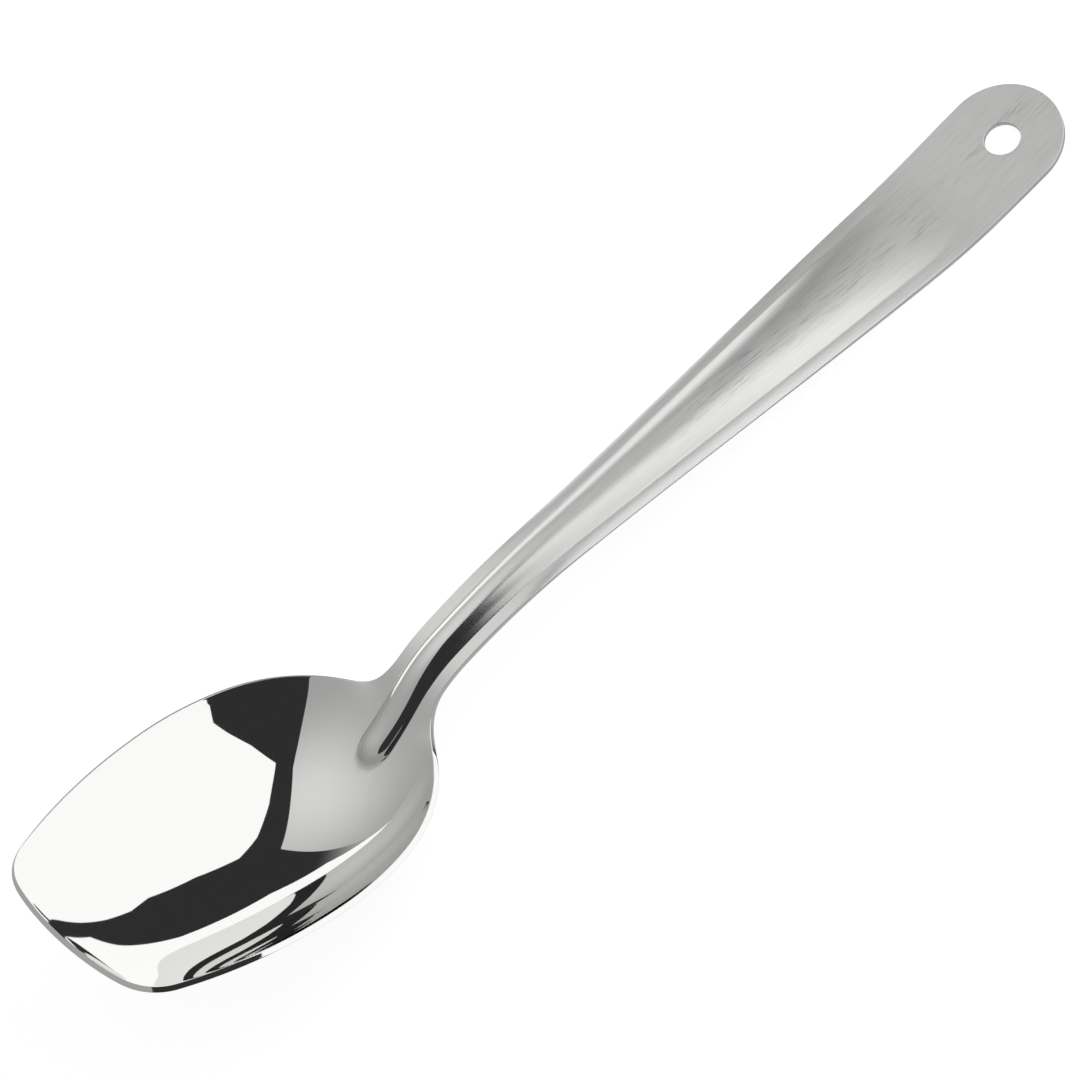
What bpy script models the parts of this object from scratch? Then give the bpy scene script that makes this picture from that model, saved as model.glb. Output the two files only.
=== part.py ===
"""Plating spoon: one stainless sheet, blanked, pressed and polished.

The sheet is shaped with its bowl rim level: x runs from the blunt tip to the handle's end, y across
and z up from the rim. Half of it is modelled, mirrored and given its thickness, and the finished
spoon is then laid on a table, on the bowl's belly and the end of the handle. Metres, +Z up.
"""
import math

import bmesh
import bpy
from mathutils import Matrix, Vector

# The sheet, and the rounding left on its edges by polishing.
SHEET = 0.0012
EDGE_ROUND = 0.00025
EDGE_ANGLE = math.radians(75.0)

# Bowl outline: a blunt tip, round corners, long sides and sloping shoulders, all arcs.
BOWL_WIDTH = 0.0582
TIP_TO_WIDEST = 0.0449
TIP_RADIUS = 0.0651
TIP_CORNER = 0.0108
SIDE_RADIUS = 0.1065
FLANK_RADIUS = 0.0613
FLANK_TURN = math.radians(16.0)
SHOULDER_RADIUS = 0.0332
SHOULDER_ANGLE = math.radians(53.9)
NECK_FILLET = 0.0064

# Bowl dish: the angles of its walls along the centre line fix its depth. The heel is fuller than the tip,
# the floor is flatter than a parabola across, and the rim sags a little.
DISH_LENGTH = 0.0833
TIP_WALL_ANGLE = math.radians(31.0)
HEEL_WALL_ANGLE = math.radians(50.1)
HEEL_FULLNESS = 3.0
FLOOR_FLATNESS = 0.33
RIM_SAG = 0.0006
RIM_EASE = 0.001

# Handle outline.
NECK_WIDTH = 0.0122
END_WIDTH = 0.0248
NECK_LENGTH = 0.0015
HOLE_DIAMETER = 0.0074

# Handle profile, from the heel of the bowl to the middle of the hang hole.
NECK_RUN = 0.00385
CRANK_RADIUS = 0.026
CRANK_TURN = math.radians(25.9)
EASE_RADIUS = 0.139
EASE_TURN = math.radians(12.5)
HANDLE_RUN = 0.0918
TAIL_RADIUS = 0.12
TAIL_TURN = math.radians(8.2)
PAD_RUN = 0.0126

# Rib pressed up along the handle, and the flanges that droop beside it. A crown of 2 is a parabola, and
# a higher one is flatter on top with steeper flanks.
RIB_HEIGHT = 0.0024
RIB_CROWN = 2.5
RIB_NECK_WIDTH = 0.0072
RIB_END_WIDTH = 0.0188
NOSE_INTO_BOWL = 0.0096
NOSE_LENGTH = 0.004
RIB_RUN_OUT = 0.07
FLANGE_DROOP = 0.0006
DROOP_START = 0.012
DROOP_GROWTH = 0.032

# Spacing of the mesh.
RIB_COLUMNS = 7
FLANGE_COLUMNS = 5
TIP_ROWS = 6
TIP_ZONE = 0.016
BOWL_STEP = 0.0033
HEEL_STEP = 0.0012
HEEL_ZONE = 0.012
NECK_STEP = 0.0018
HANDLE_STEP = 0.0042
SIDE_SPOKES = 5
END_SPOKES = 12
PAD_RINGS = 4
WELD_GAP = 0.00001

# Search for the turn that rests the spoon on a table.
STEEPEST_REST = math.radians(45.0)
REST_HALVINGS = 40

STEEL = (0.76, 0.76, 0.75, 1.0)
STEEL_ROUGHNESS = 0.18


def smooth_step(value, start, end):
    """0 before start, 1 after end and an S-curve between them."""
    share = min(max((value - start) / (end - start), 0.0), 1.0)
    return share * share * (3.0 - 2.0 * share)


class Outline:
    """Half of the blank's plan: half_width(x), built from arcs that run into each other."""

    def __init__(self):
        half = BOWL_WIDTH / 2
        self.tip_centre = Vector((TIP_RADIUS, 0.0))
        self.side_centre = Vector((TIP_TO_WIDEST, half - SIDE_RADIUS))
        self.corner_centre = self.fillet_centre()
        self.tip_touch = self.touch_point(self.tip_centre, TIP_RADIUS)
        self.side_touch = self.touch_point(self.side_centre, SIDE_RADIUS)

        self.flank_centre = Vector((TIP_TO_WIDEST, half - FLANK_RADIUS))
        flank_out = Vector((math.sin(FLANK_TURN), math.cos(FLANK_TURN)))
        self.flank_end = self.flank_centre + FLANK_RADIUS * flank_out
        self.shoulder_centre = self.flank_end - SHOULDER_RADIUS * flank_out
        shoulder_out = Vector((math.sin(SHOULDER_ANGLE), math.cos(SHOULDER_ANGLE)))
        self.shoulder_end = self.shoulder_centre + SHOULDER_RADIUS * shoulder_out

        fillet_top = NECK_WIDTH / 2 + NECK_FILLET * (1.0 - math.cos(SHOULDER_ANGLE))
        slope_fall = self.shoulder_end.y - fillet_top
        self.slope_end = self.shoulder_end.x + slope_fall / math.tan(SHOULDER_ANGLE)
        self.neck_start = self.slope_end + NECK_FILLET * math.sin(SHOULDER_ANGLE)
        self.neck_end = self.neck_start + NECK_LENGTH

    def fillet_centre(self):
        """Centre of the corner arc, which touches the tip arc and the side arc from inside."""
        to_tip = TIP_RADIUS - TIP_CORNER
        to_side = SIDE_RADIUS - TIP_CORNER
        between = self.side_centre - self.tip_centre
        apart = between.length
        along = (to_tip ** 2 - to_side ** 2 + apart ** 2) / (2.0 * apart)
        aside = math.sqrt(to_tip ** 2 - along ** 2)
        unit = between / apart
        return self.tip_centre + along * unit + aside * Vector((unit.y, -unit.x))

    def touch_point(self, centre, radius):
        """Where the corner arc meets a larger arc."""
        return centre + radius * (self.corner_centre - centre).normalized()

    def half_width(self, x):
        if x < self.tip_touch.x:
            return math.sqrt(max(TIP_RADIUS ** 2 - (x - TIP_RADIUS) ** 2, 0.0))
        if x < self.side_touch.x:
            centre = self.corner_centre
            return centre.y + math.sqrt(TIP_CORNER ** 2 - (x - centre.x) ** 2)
        if x < TIP_TO_WIDEST:
            centre = self.side_centre
            return centre.y + math.sqrt(SIDE_RADIUS ** 2 - (x - centre.x) ** 2)
        if x < self.flank_end.x:
            centre = self.flank_centre
            return centre.y + math.sqrt(FLANK_RADIUS ** 2 - (x - centre.x) ** 2)
        if x < self.shoulder_end.x:
            centre = self.shoulder_centre
            return centre.y + math.sqrt(SHOULDER_RADIUS ** 2 - (x - centre.x) ** 2)
        if x < self.slope_end:
            return self.shoulder_end.y - (x - self.shoulder_end.x) * math.tan(SHOULDER_ANGLE)
        if x < self.neck_start:
            fall = math.sqrt(NECK_FILLET ** 2 - (self.neck_start - x) ** 2)
            return NECK_WIDTH / 2 + NECK_FILLET - fall
        return (NECK_WIDTH + (END_WIDTH - NECK_WIDTH) * self.handle_share(x)) / 2

    def handle_share(self, x):
        """How far the handle has widened at x: 0 in the neck, 1 at the hang hole."""
        return smooth_step(x, self.neck_end, SPINE.hole_x)

    def tip_edge(self, share):
        """Point on the tip's edge, from its middle (0) round the corner to the side (1)."""
        tip_turn = math.asin(self.tip_touch.y / TIP_RADIUS)
        to_side = self.side_touch - self.corner_centre
        corner_turn = math.atan2(to_side.y, -to_side.x) - tip_turn
        tip_length = TIP_RADIUS * tip_turn
        walked = share * (tip_length + TIP_CORNER * corner_turn)
        if walked < tip_length:
            turn = walked / TIP_RADIUS
            return self.tip_centre + TIP_RADIUS * Vector((-math.cos(turn), math.sin(turn)))
        turn = tip_turn + (walked - tip_length) / TIP_CORNER
        return self.corner_centre + TIP_CORNER * Vector((-math.cos(turn), math.sin(turn)))


class Spine:
    """Centre line of the sheet without its rib: height(x) and slope(x), in side view."""

    def __init__(self):
        self.runs = []
        self.x = DISH_LENGTH
        self.z = 0.0
        self.angle = HEEL_WALL_ANGLE
        self.straight(NECK_RUN)
        self.bend(CRANK_RADIUS, -CRANK_TURN)
        self.bend(EASE_RADIUS, -EASE_TURN)
        self.straight(HANDLE_RUN)
        self.bend(TAIL_RADIUS, TAIL_TURN)
        self.pad_start = self.x
        self.straight(PAD_RUN)
        self.hole_x = self.x
        self.hole_z = self.z
        self.pad_angle = self.angle

    def straight(self, length):
        self.runs.append((self.x, self.z, self.angle, 0.0))
        self.x += length * math.cos(self.angle)
        self.z += length * math.sin(self.angle)

    def bend(self, radius, turn):
        curve = math.copysign(1.0 / radius, turn)
        self.runs.append((self.x, self.z, self.angle, curve))
        end = self.angle + turn
        self.x += (math.sin(end) - math.sin(self.angle)) / curve
        self.z += (math.cos(self.angle) - math.cos(end)) / curve
        self.angle = end

    def at(self, x):
        """Height and slope angle of the centre line at x."""
        if x < DISH_LENGTH:
            return self.dish(x)
        start_x, start_z, start_angle, curve = [run for run in self.runs if run[0] <= x][-1]
        if curve == 0.0:
            return start_z + (x - start_x) * math.tan(start_angle), start_angle
        angle = math.asin(math.sin(start_angle) + curve * (x - start_x))
        return start_z + (math.cos(start_angle) - math.cos(angle)) / curve, angle

    def dish(self, x):
        """Smooth curve from the tip to the heel that leaves both ends at their wall angles."""
        at_tip = math.tan(TIP_WALL_ANGLE) / DISH_LENGTH
        gain = math.tan(HEEL_WALL_ANGLE) / DISH_LENGTH - at_tip
        filled = gain * (x / DISH_LENGTH) ** HEEL_FULLNESS
        height = -x * (DISH_LENGTH - x) * (at_tip + filled)
        slope = (2.0 * x - DISH_LENGTH) * (at_tip + filled) - (DISH_LENGTH - x) * HEEL_FULLNESS * filled
        return height, math.atan(slope)


SPINE = Spine()
OUTLINE = Outline()
NOSE_X = DISH_LENGTH - NOSE_INTO_BOWL


def rib_half_width(x):
    return (RIB_NECK_WIDTH + (RIB_END_WIDTH - RIB_NECK_WIDTH) * OUTLINE.handle_share(x)) / 2


def rib_rise(x, y):
    """Height of the rib above the sheet: a crowned ridge with a round nose in the bowl."""
    short_of_nose = max((NOSE_X + NOSE_LENGTH - x) / NOSE_LENGTH, 0.0)
    reach = math.hypot(y / rib_half_width(x), short_of_nose)
    run_out = 1.0 - smooth_step(x, SPINE.pad_start - RIB_RUN_OUT, SPINE.pad_start)
    return RIB_HEIGHT * run_out * max(1.0 - reach ** RIB_CROWN, 0.0)


def flange_drop(x, y):
    """How far the flange beside the rib has curled down."""
    half = OUTLINE.half_width(x)
    across = (y - rib_half_width(x)) / (half - rib_half_width(x))
    start = OUTLINE.neck_start + DROOP_START
    grown = smooth_step(x, start, start + DROOP_GROWTH)
    run_out = 1.0 - smooth_step(x, SPINE.pad_start - RIB_RUN_OUT, SPINE.pad_start)
    return FLANGE_DROOP * grown * run_out * max(across, 0.0) ** 2


def rim_height(x):
    """Height of the bowl's rim, which sags between the tip and the heel."""
    share = min(x / DISH_LENGTH, 1.0)
    return -4.0 * RIM_SAG * share * (1.0 - share)


def sheet_point(x, y):
    """The pressed sheet's upper face over plan point x, y."""
    middle, angle = SPINE.at(x)
    edge = middle
    if x < OUTLINE.neck_start:
        ease = RIM_EASE * smooth_step(x, TIP_TO_WIDEST, DISH_LENGTH)
        edge = (middle + rim_height(x) + math.hypot(middle - rim_height(x), ease)) / 2
    half = OUTLINE.half_width(x)
    across = min(y / half, 1.0) if half > 0.0 else 1.0
    rise = (1.0 - FLOOR_FLATNESS) * across ** 2 + FLOOR_FLATNESS * across ** 4
    height = middle + (edge - middle) * rise
    pressed = rib_rise(x, y) - flange_drop(x, y)
    return Vector((x, y, height)) + pressed * Vector((-math.sin(angle), 0.0, math.cos(angle)))


def crease_share(x):
    """Share of the half width taken by the rib's columns, which spread out evenly over the bowl."""
    even = RIB_COLUMNS / (RIB_COLUMNS + FLANGE_COLUMNS)
    on_rib = rib_half_width(x) / OUTLINE.half_width(x)
    return even + (on_rib - even) * smooth_step(x, NOSE_X - HEEL_ZONE, NOSE_X)


def column_share(column, x):
    """Place of a column across the half sheet: 0 on the centre line, 1 on the edge."""
    crease = crease_share(x)
    if column <= RIB_COLUMNS:
        return crease * column / RIB_COLUMNS
    return crease + (1.0 - crease) * (column - RIB_COLUMNS) / FLANGE_COLUMNS


def spread(start, end, step):
    """Even places from start up to, but not including, end."""
    count = max(round((end - start) / step), 1)
    return [start + (end - start) * index / count for index in range(count)]


def stem_rows():
    """Rows from the tip to the pad: their place on the centre line and how far they bow to the tip."""
    neck_stop = OUTLINE.neck_start + DROOP_START + DROOP_GROWTH
    rows = [(TIP_ZONE * index / TIP_ROWS, 1.0 - index / TIP_ROWS) for index in range(TIP_ROWS)]
    places = spread(TIP_ZONE, NOSE_X - HEEL_STEP, BOWL_STEP)
    places += spread(NOSE_X - HEEL_STEP, OUTLINE.neck_start, HEEL_STEP)
    places += spread(OUTLINE.neck_start, neck_stop, NECK_STEP)
    places += spread(neck_stop, pad_back_x(), HANDLE_STEP)
    return rows + [(place, 0.0) for place in places] + [(pad_back_x(), 0.0)]


def pad_back_x():
    """Row where the pad round the hang hole takes over from the handle."""
    return SPINE.hole_x - END_WIDTH / 2 * math.cos(SPINE.pad_angle)


def stem_point(row, column):
    place, bow = row
    share = column_share(column, max(place, TIP_ZONE))
    tip = OUTLINE.tip_edge(share)
    end = OUTLINE.side_touch
    x = place + bow * tip.x
    across = bow * tip.y / end.y + (1.0 - bow) * share
    return sheet_point(x, across * OUTLINE.half_width(place + bow * end.x))


def pad_plane(along, y):
    """Point on the flat pad, from its distance along the handle past the hole's middle."""
    angle = SPINE.pad_angle
    return Vector((SPINE.hole_x + along * math.cos(angle), y, SPINE.hole_z + along * math.sin(angle)))


def pad_rim():
    """Outer points of the pad: its back row, its side and its round end."""
    back = pad_back_x()
    columns = RIB_COLUMNS + FLANGE_COLUMNS
    rim = [stem_point((back, 0.0), column) for column in range(columns)]
    for x in spread(back, SPINE.hole_x, (SPINE.hole_x - back) / SIDE_SPOKES):
        along = (x - SPINE.hole_x) / math.cos(SPINE.pad_angle)
        rim.append(pad_plane(along, OUTLINE.half_width(x)))
    for index in range(END_SPOKES + 1):
        turn = math.pi / 2 * (1.0 - index / END_SPOKES)
        rim.append(pad_plane(END_WIDTH / 2 * math.cos(turn), END_WIDTH / 2 * math.sin(turn)))
    return rim


def pad_point(rim, spoke, ring):
    """Point on a spoke from the hang hole (ring 0) to the pad's rim."""
    turn = math.pi * (1.0 - spoke / (len(rim) - 1))
    hole = pad_plane(HOLE_DIAMETER / 2 * math.cos(turn), HOLE_DIAMETER / 2 * math.sin(turn))
    return hole.lerp(rim[spoke], ring / PAD_RINGS)


def mapped_grid(mesh, rows, columns, place):
    """Add a grid of rows by columns faces, with each corner where place(row, column) puts it."""
    grid = bmesh.ops.create_grid(mesh, x_segments=rows, y_segments=columns, size=0.5)
    for vert in grid["verts"]:
        row = round((vert.co.x + 0.5) * rows)
        column = round((vert.co.y + 0.5) * columns)
        vert.co = place(row, column)


def half_sheet():
    """Mesh of the sheet's upper face on one side of the centre line."""
    rows = stem_rows()
    rim = pad_rim()
    mesh = bmesh.new()
    mapped_grid(mesh, len(rows) - 1, RIB_COLUMNS + FLANGE_COLUMNS,
                lambda row, column: stem_point(rows[row], column))
    mapped_grid(mesh, len(rim) - 1, PAD_RINGS, lambda spoke, ring: pad_point(rim, spoke, ring))
    bmesh.ops.remove_doubles(mesh, verts=mesh.verts, dist=WELD_GAP)
    bmesh.ops.recalc_face_normals(mesh, faces=mesh.faces)
    if sum(face.normal.z for face in mesh.faces) < 0.0:
        bmesh.ops.reverse_faces(mesh, faces=mesh.faces)
    data = bpy.data.meshes.new("spoon_sheet")
    mesh.to_mesh(data)
    mesh.free()
    return data


def steel():
    material = bpy.data.materials.new("stainless_steel")
    material.use_nodes = True
    shader = material.node_tree.nodes["Principled BSDF"]
    shader.inputs["Base Color"].default_value = STEEL
    shader.inputs["Roughness"].default_value = STEEL_ROUGHNESS
    shader.inputs["Metallic"].default_value = 1.0
    return material


def make_spoon(collection):
    """Mirror the half sheet, give it its thickness and round its edges."""
    data = half_sheet()
    data.materials.append(steel())
    spoon = bpy.data.objects.new("spoon_body", data)
    collection.objects.link(spoon)
    mirror = spoon.modifiers.new("both_sides", "MIRROR")
    mirror.use_axis = (False, True, False)
    mirror.merge_threshold = WELD_GAP
    wall = spoon.modifiers.new("sheet_thickness", "SOLIDIFY")
    wall.thickness = SHEET
    wall.offset = -1.0
    wall.use_even_offset = True
    edge = spoon.modifiers.new("polished_edges", "BEVEL")
    edge.width = EDGE_ROUND
    edge.segments = 1
    edge.limit_method = "ANGLE"
    edge.angle_limit = EDGE_ANGLE
    data.shade_smooth()
    return spoon


def solid_points(spoon):
    """Corners of the finished solid, in the frame it was shaped in."""
    finished = spoon.evaluated_get(bpy.context.evaluated_depsgraph_get())
    return [vert.co.copy() for vert in finished.data.vertices]


def table_turn(points):
    """Turn about Y that brings the bowl's belly and the handle's end to the same level."""
    bowl = [point for point in points if point.x < OUTLINE.neck_start]
    handle = [point for point in points if point.x > OUTLINE.neck_end]
    low = 0.0
    high = STEEPEST_REST
    for _ in range(REST_HALVINGS):
        turn = (low + high) / 2
        level = Matrix.Rotation(turn, 3, "Y")
        belly = min((level @ point).z for point in bowl)
        heel = min((level @ point).z for point in handle)
        if heel > belly:
            low = turn
        else:
            high = turn
    return turn


def lay_on_table(spoon):
    """Turn the spoon to rest on a table, centred over the origin."""
    points = solid_points(spoon)
    turn = table_turn(points)
    level = Matrix.Rotation(turn, 3, "Y")
    placed = [level @ point for point in points]
    middle = (min(point.x for point in placed) + max(point.x for point in placed)) / 2
    spoon.rotation_euler = (0.0, turn, 0.0)
    spoon.location = (-middle, 0.0, -min(point.z for point in placed))


def main():
    for old in list(bpy.data.objects):
        bpy.data.objects.remove(old, do_unlink=True)
    collection = bpy.data.collections.new("plating_spoon")
    bpy.context.scene.collection.children.link(collection)
    spoon = make_spoon(collection)
    lay_on_table(spoon)


main()
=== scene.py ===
# %% [markdown]
# # A plating spoon in polished and brushed steel
#
# This lesson dresses one pressed spoon. Its shape is already a solid, so the work here is what the eye
# reads on metal: a smooth skin, a mirror bowl, a brushed handle and a studio worth reflecting.
# The first cell loads the solid as a fixed frame.

# %% Load the solid
import math

import bmesh
import bpy
from mathutils import Matrix, Vector


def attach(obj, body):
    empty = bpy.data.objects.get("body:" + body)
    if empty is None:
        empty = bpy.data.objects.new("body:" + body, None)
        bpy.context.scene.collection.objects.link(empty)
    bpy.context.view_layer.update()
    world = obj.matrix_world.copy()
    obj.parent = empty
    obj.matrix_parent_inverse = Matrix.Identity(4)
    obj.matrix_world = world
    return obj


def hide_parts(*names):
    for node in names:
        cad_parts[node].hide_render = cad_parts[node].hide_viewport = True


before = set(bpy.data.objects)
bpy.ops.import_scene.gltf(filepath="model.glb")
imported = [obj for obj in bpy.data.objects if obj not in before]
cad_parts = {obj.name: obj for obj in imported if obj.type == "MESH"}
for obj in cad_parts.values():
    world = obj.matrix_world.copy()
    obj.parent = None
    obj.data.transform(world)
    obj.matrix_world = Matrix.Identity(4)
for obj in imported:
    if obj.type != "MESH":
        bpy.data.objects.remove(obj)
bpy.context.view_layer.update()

# %% [markdown]
# ## The camera
#
# The spoon is seen from above its bowl, through a long lens that keeps its two ends nearly the same
# size. A camera could be turned by hand until it fits, but three plain numbers are easier to read:
# where it stands, the point that it looks at, and how far it rolls about that line of sight.

# %% Camera
CAMERA_PLACE = Vector((-0.27823, -0.75993, 1.27400))
CAMERA_AIM = Vector((-0.00428, 0.00942, 0.0))
CAMERA_ROLL = math.radians(27.781)
LENS_MM = 260.0


def make_camera():
    data = bpy.data.cameras.new("spoon_camera")
    data.lens = LENS_MM
    camera = bpy.data.objects.new("spoon_camera", data)
    bpy.context.scene.collection.objects.link(camera)
    level = (CAMERA_AIM - CAMERA_PLACE).to_track_quat("-Z", "Y").to_matrix()
    turned = level @ Matrix.Rotation(-CAMERA_ROLL, 3, "Z")
    camera.matrix_world = Matrix.Translation(CAMERA_PLACE) @ turned.to_4x4()
    bpy.context.scene.camera = camera
    return camera


camera = make_camera()
print("camera to aim, m:", round((CAMERA_AIM - CAMERA_PLACE).length, 3))

# %% [markdown]
# ## The blank's outline
#
# A mirror shows every facet, so the solid's flat triangles can't stay. Its mesh could be subdivided,
# but it is all triangles, and a skin over them ripples. The sheet is pressed again
# instead, on a finer grid, from the same dimensions as the solid.
#
# The outline comes first: a blunt tip, round corners, long sides and sloping shoulders. Each stretch is
# an arc that runs into the next one, so the whole bowl needs only these few sizes.

# %% Outline
BOWL_WIDTH = 0.0582
TIP_TO_WIDEST = 0.0449
TIP_RADIUS = 0.0651
TIP_CORNER = 0.0108
SIDE_RADIUS = 0.1065
FLANK_RADIUS = 0.0613
FLANK_TURN = math.radians(16.0)
SHOULDER_RADIUS = 0.0332
SHOULDER_ANGLE = math.radians(53.9)
NECK_FILLET = 0.0064
NECK_WIDTH = 0.0122
NECK_LENGTH = 0.0015
END_WIDTH = 0.0248
HOLE_DIAMETER = 0.0074


def smooth_step(value, start, end):
    """0 before start, 1 after end and an S-curve between them."""
    share = min(max((value - start) / (end - start), 0.0), 1.0)
    return share * share * (3.0 - 2.0 * share)


class Outline:
    """Half of the blank's plan, from its tip at x = 0 to the middle of its hang hole."""

    def __init__(self, hole_x):
        half = BOWL_WIDTH / 2
        self.hole_x = hole_x
        self.tip_centre = Vector((TIP_RADIUS, 0.0))
        self.side_centre = Vector((TIP_TO_WIDEST, half - SIDE_RADIUS))
        self.corner_centre = self.fillet_centre()
        self.tip_touch = self.touch_point(self.tip_centre, TIP_RADIUS)
        self.side_touch = self.touch_point(self.side_centre, SIDE_RADIUS)
        self.flank_centre = Vector((TIP_TO_WIDEST, half - FLANK_RADIUS))
        flank_out = Vector((math.sin(FLANK_TURN), math.cos(FLANK_TURN)))
        self.flank_end = self.flank_centre + FLANK_RADIUS * flank_out
        self.shoulder_centre = self.flank_end - SHOULDER_RADIUS * flank_out
        shoulder_out = Vector((math.sin(SHOULDER_ANGLE), math.cos(SHOULDER_ANGLE)))
        self.shoulder_end = self.shoulder_centre + SHOULDER_RADIUS * shoulder_out
        fillet_top = NECK_WIDTH / 2 + NECK_FILLET * (1.0 - math.cos(SHOULDER_ANGLE))
        slope_fall = self.shoulder_end.y - fillet_top
        self.slope_end = self.shoulder_end.x + slope_fall / math.tan(SHOULDER_ANGLE)
        self.neck_start = self.slope_end + NECK_FILLET * math.sin(SHOULDER_ANGLE)
        self.neck_end = self.neck_start + NECK_LENGTH

    def fillet_centre(self):
        """Centre of the corner arc, which touches the tip arc and the side arc from inside."""
        to_tip = TIP_RADIUS - TIP_CORNER
        to_side = SIDE_RADIUS - TIP_CORNER
        between = self.side_centre - self.tip_centre
        apart = between.length
        along = (to_tip ** 2 - to_side ** 2 + apart ** 2) / (2.0 * apart)
        aside = math.sqrt(to_tip ** 2 - along ** 2)
        unit = between / apart
        return self.tip_centre + along * unit + aside * Vector((unit.y, -unit.x))

    def touch_point(self, centre, radius):
        """Where the corner arc meets a larger arc."""
        return centre + radius * (self.corner_centre - centre).normalized()

    def half_width(self, x):
        if x < self.tip_touch.x:
            return math.sqrt(max(TIP_RADIUS ** 2 - (x - TIP_RADIUS) ** 2, 0.0))
        if x < self.side_touch.x:
            centre = self.corner_centre
            return centre.y + math.sqrt(TIP_CORNER ** 2 - (x - centre.x) ** 2)
        if x < TIP_TO_WIDEST:
            centre = self.side_centre
            return centre.y + math.sqrt(SIDE_RADIUS ** 2 - (x - centre.x) ** 2)
        if x < self.flank_end.x:
            centre = self.flank_centre
            return centre.y + math.sqrt(FLANK_RADIUS ** 2 - (x - centre.x) ** 2)
        if x < self.shoulder_end.x:
            centre = self.shoulder_centre
            return centre.y + math.sqrt(SHOULDER_RADIUS ** 2 - (x - centre.x) ** 2)
        if x < self.slope_end:
            return self.shoulder_end.y - (x - self.shoulder_end.x) * math.tan(SHOULDER_ANGLE)
        if x < self.neck_start:
            fall = math.sqrt(NECK_FILLET ** 2 - (self.neck_start - x) ** 2)
            return NECK_WIDTH / 2 + NECK_FILLET - fall
        return (NECK_WIDTH + (END_WIDTH - NECK_WIDTH) * self.handle_share(x)) / 2

    def handle_share(self, x):
        """How far the handle has widened at x: 0 in the neck, 1 at the hang hole."""
        return smooth_step(x, self.neck_end, self.hole_x)

    def tip_edge(self, share):
        """Point on the tip's edge, from its middle (0) round the corner to the side (1)."""
        tip_turn = math.asin(self.tip_touch.y / TIP_RADIUS)
        to_side = self.side_touch - self.corner_centre
        corner_turn = math.atan2(to_side.y, -to_side.x) - tip_turn
        tip_length = TIP_RADIUS * tip_turn
        walked = share * (tip_length + TIP_CORNER * corner_turn)
        if walked < tip_length:
            turn = walked / TIP_RADIUS
            return self.tip_centre + TIP_RADIUS * Vector((-math.cos(turn), math.sin(turn)))
        turn = tip_turn + (walked - tip_length) / TIP_CORNER
        return self.corner_centre + TIP_CORNER * Vector((-math.cos(turn), math.sin(turn)))


# %% [markdown]
# ## The spoon's side view
#
# Seen from the side, the sheet dips into the bowl, climbs out of its heel, is cranked over twice and
# runs straight to the hang hole. A drawn curve would hide these bends, so the line is walked from one
# straight or bend to the next, as a press tool would lay them down.

# %% Side view
DISH_LENGTH = 0.0833
TIP_WALL_ANGLE = math.radians(31.0)
HEEL_WALL_ANGLE = math.radians(50.1)
HEEL_FULLNESS = 3.0
NECK_RUN = 0.00385
CRANK_RADIUS = 0.026
CRANK_TURN = math.radians(25.9)
EASE_RADIUS = 0.139
EASE_TURN = math.radians(12.5)
HANDLE_RUN = 0.0918
TAIL_RADIUS = 0.12
TAIL_TURN = math.radians(8.2)
PAD_RUN = 0.0126


class SideView:
    """Centre line of the sheet without its rib, with the bowl's rim level at z = 0."""

    def __init__(self):
        self.runs = []
        self.x = DISH_LENGTH
        self.z = 0.0
        self.angle = HEEL_WALL_ANGLE
        self.straight(NECK_RUN)
        self.bend(CRANK_RADIUS, -CRANK_TURN)
        self.bend(EASE_RADIUS, -EASE_TURN)
        self.straight(HANDLE_RUN)
        self.bend(TAIL_RADIUS, TAIL_TURN)
        self.pad_start = self.x
        self.straight(PAD_RUN)

    def straight(self, length):
        self.runs.append((self.x, self.z, self.angle, 0.0))
        self.x += length * math.cos(self.angle)
        self.z += length * math.sin(self.angle)

    def bend(self, radius, turn):
        curve = math.copysign(1.0 / radius, turn)
        self.runs.append((self.x, self.z, self.angle, curve))
        end = self.angle + turn
        self.x += (math.sin(end) - math.sin(self.angle)) / curve
        self.z += (math.cos(self.angle) - math.cos(end)) / curve
        self.angle = end

    def at(self, x):
        """Height and slope angle of the centre line at x."""
        if x < DISH_LENGTH:
            return self.dish(x)
        start_x, start_z, start_angle, curve = [run for run in self.runs if run[0] <= x][-1]
        if curve == 0.0:
            return start_z + (x - start_x) * math.tan(start_angle), start_angle
        angle = math.asin(math.sin(start_angle) + curve * (x - start_x))
        return start_z + (math.cos(start_angle) - math.cos(angle)) / curve, angle

    def dish(self, x):
        """Smooth curve from the tip to the heel that leaves both ends at their wall angles."""
        at_tip = math.tan(TIP_WALL_ANGLE) / DISH_LENGTH
        gain = math.tan(HEEL_WALL_ANGLE) / DISH_LENGTH - at_tip
        filled = gain * (x / DISH_LENGTH) ** HEEL_FULLNESS
        height = -x * (DISH_LENGTH - x) * (at_tip + filled)
        slope = (2.0 * x - DISH_LENGTH) * (at_tip + filled) - (DISH_LENGTH - x) * HEEL_FULLNESS * filled
        return height, math.atan(slope)


side_view = SideView()
outline = Outline(side_view.x)
print("tip to neck and to hole, mm:", round(outline.neck_start * 1000, 1), round(side_view.x * 1000, 1))

# %% [markdown]
# ## The pressing
#
# Three things are pressed into the sheet: the bowl's dish, a crowned rib that stiffens the handle and
# ends in a round nose inside the bowl, and flanges that droop a little beside the rib. Sculpting could
# give such folds, but a height over each point of the plan gives them the same on both sides.

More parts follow.
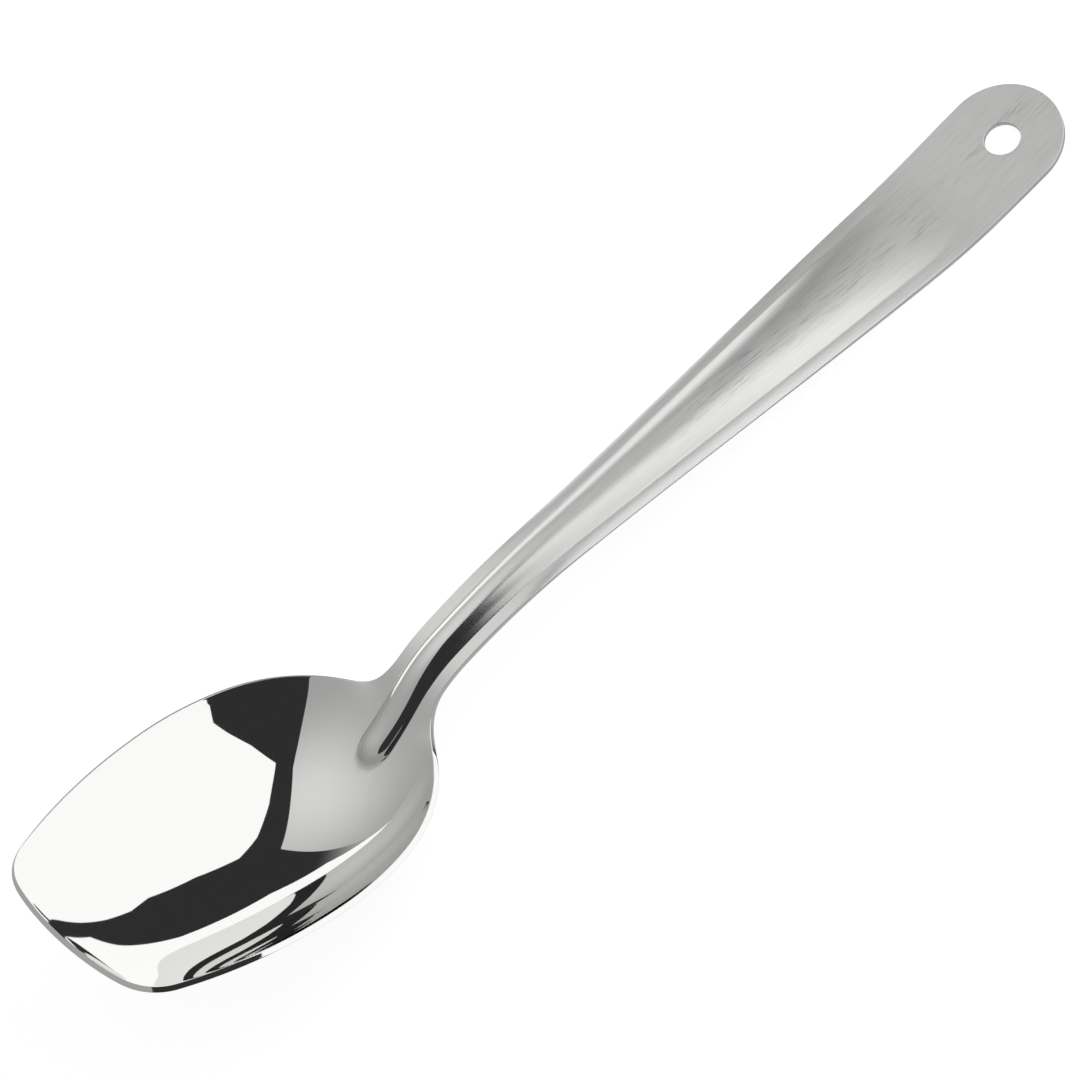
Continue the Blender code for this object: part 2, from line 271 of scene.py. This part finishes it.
# %% Pressed height
FLOOR_FLATNESS = 0.33
RIM_SAG = 0.0006
RIM_EASE = 0.001
RIB_HEIGHT = 0.0024
RIB_CROWN = 2.5
RIB_NECK_WIDTH = 0.0072
RIB_END_WIDTH = 0.0188
NOSE_INTO_BOWL = 0.0096
NOSE_LENGTH = 0.004
RIB_RUN_OUT = 0.07
FLANGE_DROOP = 0.0006
DROOP_START = 0.012
DROOP_GROWTH = 0.032
NOSE_X = DISH_LENGTH - NOSE_INTO_BOWL
DEPTH_SAMPLES = 40


def run_out(x):
    """1 along the handle, falling to 0 where the rib dies away into the flat end."""
    return 1.0 - smooth_step(x, side_view.pad_start - RIB_RUN_OUT, side_view.pad_start)


def rib_half_width(x):
    return (RIB_NECK_WIDTH + (RIB_END_WIDTH - RIB_NECK_WIDTH) * outline.handle_share(x)) / 2


def rib_rise(x, y):
    """Height of the rib above the sheet: a crowned ridge with a round nose in the bowl."""
    short_of_nose = max((NOSE_X + NOSE_LENGTH - x) / NOSE_LENGTH, 0.0)
    reach = math.hypot(y / rib_half_width(x), short_of_nose)
    return RIB_HEIGHT * run_out(x) * max(1.0 - reach ** RIB_CROWN, 0.0)


def flange_drop(x, y):
    """How far the flange beside the rib has curled down."""
    half = outline.half_width(x)
    across = (y - rib_half_width(x)) / (half - rib_half_width(x))
    start = outline.neck_start + DROOP_START
    grown = smooth_step(x, start, start + DROOP_GROWTH)
    return FLANGE_DROOP * grown * run_out(x) * max(across, 0.0) ** 2


def rim_height(x):
    """Height of the bowl's rim, which sags between the tip and the heel."""
    share = min(x / DISH_LENGTH, 1.0)
    return -4.0 * RIM_SAG * share * (1.0 - share)


def sheet_point(x, y):
    """The pressed sheet's upper face over plan point x, y."""
    middle, angle = side_view.at(x)
    edge = middle
    if x < outline.neck_start:
        ease = RIM_EASE * smooth_step(x, TIP_TO_WIDEST, DISH_LENGTH)
        edge = (middle + rim_height(x) + math.hypot(middle - rim_height(x), ease)) / 2
    half = outline.half_width(x)
    across = min(y / half, 1.0) if half > 0.0 else 1.0
    rise = (1.0 - FLOOR_FLATNESS) * across ** 2 + FLOOR_FLATNESS * across ** 4
    height = middle + (edge - middle) * rise
    pressed = rib_rise(x, y) - flange_drop(x, y)
    return Vector((x, y, height)) + pressed * Vector((-math.sin(angle), 0.0, math.cos(angle)))


dish_heights = [side_view.dish(DISH_LENGTH * step / DEPTH_SAMPLES)[0] for step in range(DEPTH_SAMPLES)]
print("bowl's lowest point below its rim, mm:", round(min(dish_heights) * -1000, 1))

# %% [markdown]
# ## The grid
#
# One half of the sheet is a grid of rows from the tip to the handle's end. Its columns follow the rib's
# crease along the handle, so that the fold lies on an edge, and spread out over the bowl. Near the tip
# the rows bow outwards to the tip's edge, and the flat round end is a second grid that fans out from
# the hang hole.

# %% Grid of one half
RIB_COLUMNS = 13
FLANGE_COLUMNS = 9
TIP_ROWS = 16
TIP_ZONE = 0.016
BOWL_STEP = 0.0010
HANDLE_STEP = 0.0016
NOSE_ZONE = 0.012
SIDE_SPOKES = 9
END_SPOKES = 20
PAD_RINGS = 8
COLUMNS = RIB_COLUMNS + FLANGE_COLUMNS


def column_share(column, x):
    """Place of a column across the half sheet: 0 on the centre line, 1 on the edge."""
    even = RIB_COLUMNS / COLUMNS
    on_rib = rib_half_width(x) / outline.half_width(x)
    crease = even + (on_rib - even) * smooth_step(x, NOSE_X - NOSE_ZONE, NOSE_X)
    if column <= RIB_COLUMNS:
        return crease * column / RIB_COLUMNS
    return crease + (1.0 - crease) * (column - RIB_COLUMNS) / FLANGE_COLUMNS


def spread(start, end, step):
    """Even places from start up to, but not including, end."""
    count = max(round((end - start) / step), 1)
    return [start + (end - start) * index / count for index in range(count)]


def pad_back_x():
    """Row where the pad round the hang hole takes over from the handle."""
    return side_view.x - END_WIDTH / 2 * math.cos(side_view.angle)


def stem_rows():
    """Rows from the tip to the pad: their place on the centre line and how far they bow to the tip."""
    neck_stop = outline.neck_start + DROOP_START + DROOP_GROWTH
    rows = [(TIP_ZONE * index / TIP_ROWS, 1.0 - index / TIP_ROWS) for index in range(TIP_ROWS)]
    places = spread(TIP_ZONE, neck_stop, BOWL_STEP) + spread(neck_stop, pad_back_x(), HANDLE_STEP)
    return rows + [(place, 0.0) for place in places] + [(pad_back_x(), 0.0)]


def stem_point(row, column):
    place, bow = row
    share = column_share(column, max(place, TIP_ZONE))
    tip = outline.tip_edge(share)
    end = outline.side_touch
    x = place + bow * tip.x
    across = bow * tip.y / end.y + (1.0 - bow) * share
    return sheet_point(x, across * outline.half_width(place + bow * end.x))


def pad_plane(along, y):
    """Point on the flat pad, from its distance along the handle past the hole's middle."""
    angle = side_view.angle
    return Vector((side_view.x + along * math.cos(angle), y, side_view.z + along * math.sin(angle)))


def pad_rim():
    """Outer points of the pad: its back row, its side and its round end."""
    back = pad_back_x()
    rim = [stem_point((back, 0.0), column) for column in range(COLUMNS)]
    for x in spread(back, side_view.x, (side_view.x - back) / SIDE_SPOKES):
        along = (x - side_view.x) / math.cos(side_view.angle)
        rim.append(pad_plane(along, outline.half_width(x)))
    for index in range(END_SPOKES + 1):
        turn = math.pi / 2 * (1.0 - index / END_SPOKES)
        rim.append(pad_plane(END_WIDTH / 2 * math.cos(turn), END_WIDTH / 2 * math.sin(turn)))
    return rim


def pad_point(rim, spoke, ring):
    """Point on a spoke from the hang hole (ring 0) to the pad's rim."""
    turn = math.pi * (1.0 - spoke / (len(rim) - 1))
    hole = pad_plane(HOLE_DIAMETER / 2 * math.cos(turn), HOLE_DIAMETER / 2 * math.sin(turn))
    return hole.lerp(rim[spoke], ring / PAD_RINGS)


def mapped_grid(mesh, rows, columns, place):
    """Add a grid of rows by columns faces, with each corner where place(row, column) puts it."""
    grid = bmesh.ops.create_grid(mesh, x_segments=rows, y_segments=columns, size=0.5)
    for vert in grid["verts"]:
        row = round((vert.co.x + 0.5) * rows)
        column = round((vert.co.y + 0.5) * columns)
        vert.co = place(row, column)


print("rows and columns of one half:", len(stem_rows()), "x", COLUMNS + 1)

# %% [markdown]
# ## The sheet
#
# The half is mirrored, turned as the spoon lies on a table and given its thickness. A Bevel takes the
# sharpness off the blanked edges, and one level of Subdivision Surface rounds them. Smoothing would also
# blur the fold beside the rib, so the edges on it are marked and keep the small radius of a press tool.
# The Bevel lets no faces overlap, so the grid's narrowest faces hold it back to less than its full width.

# %% Spoon
SHEET = 0.0012
EDGE_ROUND = 0.00025
EDGE_SEGMENTS = 2
EDGE_ANGLE = math.radians(75.0)
SKIN_LEVELS = 1
REST_TURN = math.radians(18.4706)
REST_PLACE = Vector((-0.128088, 0.0, 0.033772))
WELD_GAP = 0.00001
FOLD_GAP = 0.000002
FOLD_CREASE = 0.7


def on_fold(vert):
    """Whether a corner of the unturned sheet lies on the fold beside the rib."""
    return vert.co.x > NOSE_X and abs(abs(vert.co.y) - rib_half_width(vert.co.x)) < FOLD_GAP


def mark_folds(mesh):
    """Keep the fold beside the rib tight when the skin is smoothed."""
    tightness = mesh.edges.layers.float.new("crease_edge")
    for edge in mesh.edges:
        if all(on_fold(vert) for vert in edge.verts):
            edge[tightness] = FOLD_CREASE


def pressed_sheet():
    """Mesh of the whole sheet's upper face, lying as the solid does."""
    rows = stem_rows()
    rim = pad_rim()
    mesh = bmesh.new()
    mapped_grid(mesh, len(rows) - 1, COLUMNS, lambda row, column: stem_point(rows[row], column))
    mapped_grid(mesh, len(rim) - 1, PAD_RINGS, lambda spoke, ring: pad_point(rim, spoke, ring))
    bmesh.ops.mirror(mesh, geom=mesh.verts[:] + mesh.edges[:] + mesh.faces[:], axis="Y")
    bmesh.ops.remove_doubles(mesh, verts=mesh.verts, dist=WELD_GAP)
    bmesh.ops.recalc_face_normals(mesh, faces=mesh.faces)
    if sum(face.normal.z for face in mesh.faces) < 0.0:
        bmesh.ops.reverse_faces(mesh, faces=mesh.faces)
    mark_folds(mesh)
    rest = Matrix.Translation(REST_PLACE) @ Matrix.Rotation(REST_TURN, 4, "Y")
    bmesh.ops.transform(mesh, matrix=rest, verts=mesh.verts)
    data = bpy.data.meshes.new("spoon")
    mesh.to_mesh(data)
    mesh.free()
    data.shade_smooth()
    return data


def make_spoon():
    spoon = bpy.data.objects.new("spoon", pressed_sheet())
    bpy.context.scene.collection.objects.link(spoon)
    wall = spoon.modifiers.new("sheet_thickness", "SOLIDIFY")
    wall.thickness = SHEET
    wall.offset = -1.0
    wall.use_even_offset = True
    edge = spoon.modifiers.new("polished_edges", "BEVEL")
    edge.width = EDGE_ROUND
    edge.segments = EDGE_SEGMENTS
    edge.limit_method = "ANGLE"
    edge.angle_limit = EDGE_ANGLE
    skin = spoon.modifiers.new("smooth_skin", "SUBSURF")
    skin.levels = SKIN_LEVELS
    skin.render_levels = SKIN_LEVELS
    return spoon


spoon = make_spoon()
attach(spoon, "root")
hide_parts("spoon_body")
print("faces in the pressed sheet:", len(spoon.data.polygons))

# %% [markdown]
# ## Small node helpers
#
# The finishes and the studio are products and sums of simple masks. Two helpers keep them short: one for
# a Math node and one for a smooth step between two levels.

# %% Node helpers
def math_node(tree, operation, first, second):
    """Math node on two sockets or numbers."""
    node = tree.nodes.new("ShaderNodeMath")
    node.operation = operation
    for place, value in zip(node.inputs, (first, second)):
        if isinstance(value, (int, float)):
            place.default_value = value
        else:
            tree.links.new(value, place)
    return node.outputs[0]


def ramp(tree, value, start, end, low=0.0, high=1.0):
    """Smooth step of a socket from low, at start, to high, at end."""
    node = tree.nodes.new("ShaderNodeMapRange")
    node.interpolation_type = "SMOOTHSTEP"
    tree.links.new(value, node.inputs["Value"])
    for name, number in (("From Min", start), ("From Max", end), ("To Min", low), ("To Max", high)):
        node.inputs[name].default_value = number
    return node.outputs["Result"]


# %% [markdown]
# ## The steel
#
# The bowl and the neck are polished to a mirror, and the handle is brushed along its length. The finish
# changes over a short stretch above the neck, so it is one material with a mask along the spoon. The
# brushing is noise drawn out along the handle: a fine grain, and short dark scratches that gather in
# patches on the worn crown of the rib. An image could hold them too, but noise has no seams and no end.

# %% Steel
STEEL = (0.76, 0.76, 0.75, 1.0)
SCRATCHED_STEEL = (0.40, 0.40, 0.40, 1.0)
MIRROR_ROUGHNESS = 0.025
SATIN_ROUGHNESS = 0.38
SATIN_START = -0.046
SATIN_END = -0.002
GRAIN_ALONG = 130.0
GRAIN_ACROSS = 4000.0
GRAIN_DETAIL = 3.0
GRAIN_CONTRAST = 0.06
FURROW_TOP = 0.60
FURROW_BOTTOM = 0.36
FURROW_SHADE = 0.16
SCRATCH_ALONG = 170.0
SCRATCH_ACROSS = 4600.0
SCRATCH_DETAIL = 2.0
SCRATCH_START = 0.53
SCRATCH_FULL = 0.63
SCRATCH_DEPTH = 0.65
PATCH_ALONG = 45.0
PATCH_ACROSS = 220.0
PATCH_START = 0.40
PATCH_FULL = 0.58
WORN_START = 0.0
WORN_END = 0.05
CROWN_MIDDLE = 0.002
CROWN_EDGE = 0.0055
OFF_CROWN = 0.12
WAVE_SCALE = 70.0
WAVE_DETAIL = 1.0
WAVE_HEIGHT = 0.000004


def stretched_noise(tree, along, across, detail):
    """Noise in the spoon's own coordinates, drawn out along the handle."""
    place = tree.nodes.new("ShaderNodeTexCoord").outputs["Object"]
    mapping = tree.nodes.new("ShaderNodeMapping")
    mapping.inputs["Scale"].default_value = (along, across, along)
    tree.links.new(place, mapping.inputs["Vector"])
    noise = tree.nodes.new("ShaderNodeTexNoise")
    noise.inputs["Scale"].default_value = 1.0
    noise.inputs["Detail"].default_value = detail
    tree.links.new(mapping.outputs["Vector"], noise.inputs["Vector"])
    return noise.outputs["Fac"]


def spoon_axis(tree, axis):
    """Socket with the place along one of the spoon's own axes, in metres from its middle."""
    split = tree.nodes.new("ShaderNodeSeparateXYZ")
    tree.links.new(tree.nodes.new("ShaderNodeTexCoord").outputs["Object"], split.inputs[0])
    return split.outputs[axis]


def scratches(tree):
    """Mask of the dark scratches: short lines in patches, most of them on the worn crown of the rib."""
    streaks = stretched_noise(tree, SCRATCH_ALONG, SCRATCH_ACROSS, SCRATCH_DETAIL)
    lines = ramp(tree, streaks, SCRATCH_START, SCRATCH_FULL)
    clouds = stretched_noise(tree, PATCH_ALONG, PATCH_ACROSS, SCRATCH_DETAIL)
    patch = ramp(tree, clouds, PATCH_START, PATCH_FULL)
    worn = ramp(tree, spoon_axis(tree, "X"), WORN_START, WORN_END)
    from_middle = math_node(tree, "ABSOLUTE", spoon_axis(tree, "Y"), 0.0)
    crown = ramp(tree, from_middle, CROWN_EDGE, CROWN_MIDDLE, OFF_CROWN, 1.0)
    mask = math_node(tree, "MULTIPLY", math_node(tree, "MULTIPLY", lines, patch), worn)
    return math_node(tree, "MULTIPLY", math_node(tree, "MULTIPLY", mask, crown), SCRATCH_DEPTH)


def make_steel():
    material = bpy.data.materials.new("polished_steel")
    material.use_nodes = True
    tree = material.node_tree
    shader = tree.nodes["Principled BSDF"]
    shader.inputs["Metallic"].default_value = 1.0

    satin = ramp(tree, spoon_axis(tree, "X"), SATIN_START, SATIN_END)
    grain = stretched_noise(tree, GRAIN_ALONG, GRAIN_ACROSS, GRAIN_DETAIL)
    swing = math_node(tree, "MULTIPLY", math_node(tree, "SUBTRACT", grain, 0.5), 2.0 * GRAIN_CONTRAST)
    brushed = math_node(tree, "ADD", swing, SATIN_ROUGHNESS)
    gain = math_node(tree, "SUBTRACT", brushed, MIRROR_ROUGHNESS)
    roughness = math_node(tree, "ADD", math_node(tree, "MULTIPLY", gain, satin), MIRROR_ROUGHNESS)
    tree.links.new(roughness, shader.inputs["Roughness"])

    shade = ramp(tree, grain, FURROW_TOP, FURROW_BOTTOM, 0.0, FURROW_SHADE)
    furrows = math_node(tree, "MULTIPLY", shade, satin)
    mix = tree.nodes.new("ShaderNodeMix")
    mix.data_type = "RGBA"
    mix.inputs["A"].default_value = STEEL
    mix.inputs["B"].default_value = SCRATCHED_STEEL
    tree.links.new(math_node(tree, "MAXIMUM", scratches(tree), furrows), mix.inputs["Factor"])
    tree.links.new(mix.outputs["Result"], shader.inputs["Base Color"])

    waves = stretched_noise(tree, WAVE_SCALE, WAVE_SCALE, WAVE_DETAIL)
    bump = tree.nodes.new("ShaderNodeBump")
    bump.inputs["Strength"].default_value = 1.0
    bump.inputs["Distance"].default_value = WAVE_HEIGHT
    tree.links.new(waves, bump.inputs["Height"])
    tree.links.new(bump.outputs["Normal"], shader.inputs["Normal"])
    return material


steel = make_steel()
spoon.data.materials.append(steel)
print("nodes in the steel:", len(steel.node_tree.nodes))

# %% [markdown]
# ## The floor
#
# A pale table that keeps a soft shadow. The camera finds it a little brighter than the light on it, so
# that it reads as white without more light on the spoon. Mirror rays pass through it, because the white
# sheet and the softbox reach below the spoon's horizon and the steel shows them there.

# %% Floor
FLOOR_RADIUS = 3.0
FLOOR_SEGMENTS = 96
FLOOR_ROUGHNESS = 0.9
FLOOR_COLOUR = (0.3, 0.3, 0.3, 1.0)
FLOOR_LIFT = 0.87


def make_floor():
    mesh = bmesh.new()
    bmesh.ops.create_circle(mesh, cap_ends=True, segments=FLOOR_SEGMENTS, radius=FLOOR_RADIUS)
    data = bpy.data.meshes.new("floor")
    mesh.to_mesh(data)
    mesh.free()
    floor = bpy.data.objects.new("floor", data)
    bpy.context.scene.collection.objects.link(floor)
    floor.visible_glossy = False
    material = bpy.data.materials.new("pale_floor")
    material.use_nodes = True
    tree = material.node_tree
    shader = tree.nodes["Principled BSDF"]
    shader.inputs["Base Color"].default_value = FLOOR_COLOUR
    shader.inputs["Roughness"].default_value = FLOOR_ROUGHNESS
    shader.inputs["Specular IOR Level"].default_value = 0.0
    shader.inputs["Emission Color"].default_value = (1.0, 1.0, 1.0, 1.0)
    seen = tree.nodes.new("ShaderNodeLightPath").outputs["Is Camera Ray"]
    tree.links.new(math_node(tree, "MULTIPLY", seen, FLOOR_LIFT), shader.inputs["Emission Strength"])
    data.materials.append(material)
    return floor


floor = make_floor()
print("floor, m across:", 2.0 * FLOOR_RADIUS)

# %% [markdown]
# ## The studio cards
#
# Polished metal is a picture of the room around it. That room could be painted on the sky, but a sky is
# endlessly far, and on a table the handle sees the same card from another place than the bowl does. So
# the cards are real ones, about half a metre away. A softbox reaches from above the spoon down its right
# and front, a grey fill card hangs level above it and a white sheet stands behind it. The fill card has
# no lamp: its own glow is painted brighter towards one side and fades from there, a painted pool of
# light as if a lamp stood close to it. The camera looks through the cards.

# %% Studio cards
BOWL_MIDDLE = Vector((-0.085, 0.0, 0.01))
# From its top down the right edge, along the bottom and up the front edge.
SOFTBOX = [(0.08, -0.10, 0.60), (0.25, 0.12, 0.55), (0.39, 0.28, 0.49), (0.50, 0.37, 0.44),
           (0.60, 0.37, 0.35), (0.76, 0.44, 0.24), (0.92, 0.57, 0.15), (1.14, 0.71, 0.02),
           (2.00, 1.23, -0.50), (0.30, -2.29, -0.50), (0.09, -0.72, 0.335), (0.12, -0.57, 0.37),
           (0.11, -0.46, 0.42), (0.09, -0.30, 0.51)]
# x and y of the corners of the level card.
FILL_HEIGHT = 0.56
FILL_CARD = [(-4.0, -3.4), (0.023, 0.007), (0.475, 0.53), (0.334, 1.613), (-0.04, 5.0), (-4.0, 5.0)]
# x and z of the corners of the upright sheet: its wavy top and then its foot.
SHEET_BACK = 0.56
WHITE_SHEET = [(-0.235, 0.04), (0.045, 0.164), (0.195, 0.202), (0.355, 0.163), (0.496, 0.012),
               (0.765, -0.128), (0.765, -0.2), (-0.235, -0.2)]
WHITE_LIGHT = 1.25
FILL_LIGHT = 0.45
FILL_PAINTED_POOL = 0.40
FILL_CENTRE = Vector((0.27, 0.40, 1.0))
FILL_FALL = 4.0


def toward(tree, direction, axis):
    """How far a direction points along an axis: 1 along it, 0 across it."""
    node = tree.nodes.new("ShaderNodeVectorMath")
    node.operation = "DOT_PRODUCT"
    tree.links.new(direction, node.inputs[0])
    node.inputs[1].default_value = axis.normalized()
    return node.outputs["Value"]


def card_material(name):
    """Material that only shines, and its Emission node."""
    material = bpy.data.materials.new(name)
    material.use_nodes = True
    tree = material.node_tree
    tree.nodes.remove(tree.nodes["Principled BSDF"])
    shine = tree.nodes.new("ShaderNodeEmission")
    shine.inputs["Strength"].default_value = WHITE_LIGHT
    tree.links.new(shine.outputs["Emission"], tree.nodes["Material Output"].inputs["Surface"])
    return material, shine


def fill_material():
    """Shining grey with a painted pool of light, brightest where a lamp would stand, as seen from the
    bowl.
    """
    material, shine = card_material("fill_card")
    tree = material.node_tree
    from_bowl = tree.nodes.new("ShaderNodeVectorMath")
    from_bowl.operation = "SUBTRACT"
    tree.links.new(tree.nodes.new("ShaderNodeTexCoord").outputs["Object"], from_bowl.inputs[0])
    from_bowl.inputs[1].default_value = BOWL_MIDDLE
    direction = tree.nodes.new("ShaderNodeVectorMath")
    direction.operation = "NORMALIZE"
    tree.links.new(from_bowl.outputs["Vector"], direction.inputs[0])
    # Painted pool of light: the card's glow is raised towards FILL_CENTRE and falls off away from it.
    near = math_node(tree, "POWER", toward(tree, direction.outputs["Vector"], FILL_CENTRE), FILL_FALL)
    level = math_node(tree, "ADD", math_node(tree, "MULTIPLY", near, FILL_PAINTED_POOL), FILL_LIGHT)
    tree.links.new(level, shine.inputs["Strength"])
    return material


def make_card(name, corners, material):
    """Flat card that lights the spoon and shows in it, but not to the camera."""
    mesh = bmesh.new()
    mesh.faces.new([mesh.verts.new(corner) for corner in corners])
    data = bpy.data.meshes.new(name)
    mesh.to_mesh(data)
    mesh.free()
    data.materials.append(material)
    card = bpy.data.objects.new(name, data)
    bpy.context.scene.collection.objects.link(card)
    card.visible_camera = False
    return card


white, _ = card_material("white_card")
cards = [make_card("softbox", SOFTBOX, white),
         make_card("white_sheet", [(x, SHEET_BACK, z) for x, z in WHITE_SHEET], white),
         make_card("fill_card", [(x, y, FILL_HEIGHT) for x, y in FILL_CARD], fill_material())]
print("studio cards:", [card.name for card in cards])

# %% [markdown]
# ## The room
#
# Behind the cards the room is dark, with a grey wall far to the left and behind. What lies steeply below
# is the table in the spoon's own shadow, lighter in front of it than behind, which draws a thin grey line
# round every edge. The camera sees a plain white backdrop instead.

# %% Room
DARK_LIGHT = 0.034
WALL_SIDE = Vector((-0.8, 0.6, 0.0))
WALL_START = 0.1
WALL_END = 0.4
WALL_LIGHT = 0.45
TABLE_HIGH = -0.3
TABLE_LOW = -0.5
TABLE_BACK_LIGHT = 0.35
TABLE_FRONT_LIGHT = 0.5
TABLE_TURN = 0.25
BACKDROP_LIGHT = 1.0


def room_light(tree):
    """Light of the room behind the cards."""
    direction = tree.nodes.new("ShaderNodeTexCoord").outputs["Generated"]
    wall = ramp(tree, toward(tree, direction, WALL_SIDE), WALL_START, WALL_END, DARK_LIGHT, WALL_LIGHT)
    height = toward(tree, direction, Vector((0.0, 0.0, 1.0)))
    front = toward(tree, direction, Vector((0.0, -1.0, 0.0)))
    table_light = ramp(tree, front, -TABLE_TURN, TABLE_TURN, TABLE_BACK_LIGHT, TABLE_FRONT_LIGHT)
    table = math_node(tree, "MULTIPLY", ramp(tree, height, TABLE_HIGH, TABLE_LOW), table_light)
    return math_node(tree, "MAXIMUM", wall, table)


def make_room():
    world = bpy.data.worlds.new("studio")
    bpy.context.scene.world = world
    world.use_nodes = True
    tree = world.node_tree
    seen = tree.nodes.new("ShaderNodeMix")
    seen.data_type = "FLOAT"
    seen.inputs["B"].default_value = BACKDROP_LIGHT
    tree.links.new(tree.nodes.new("ShaderNodeLightPath").outputs["Is Camera Ray"], seen.inputs["Factor"])
    tree.links.new(room_light(tree), seen.inputs["A"])
    tree.links.new(seen.outputs["Result"], tree.nodes["Background"].inputs["Color"])
    return world


room = make_room()
bpy.context.scene.view_settings.view_transform = "Standard"
print("room:", room.name)
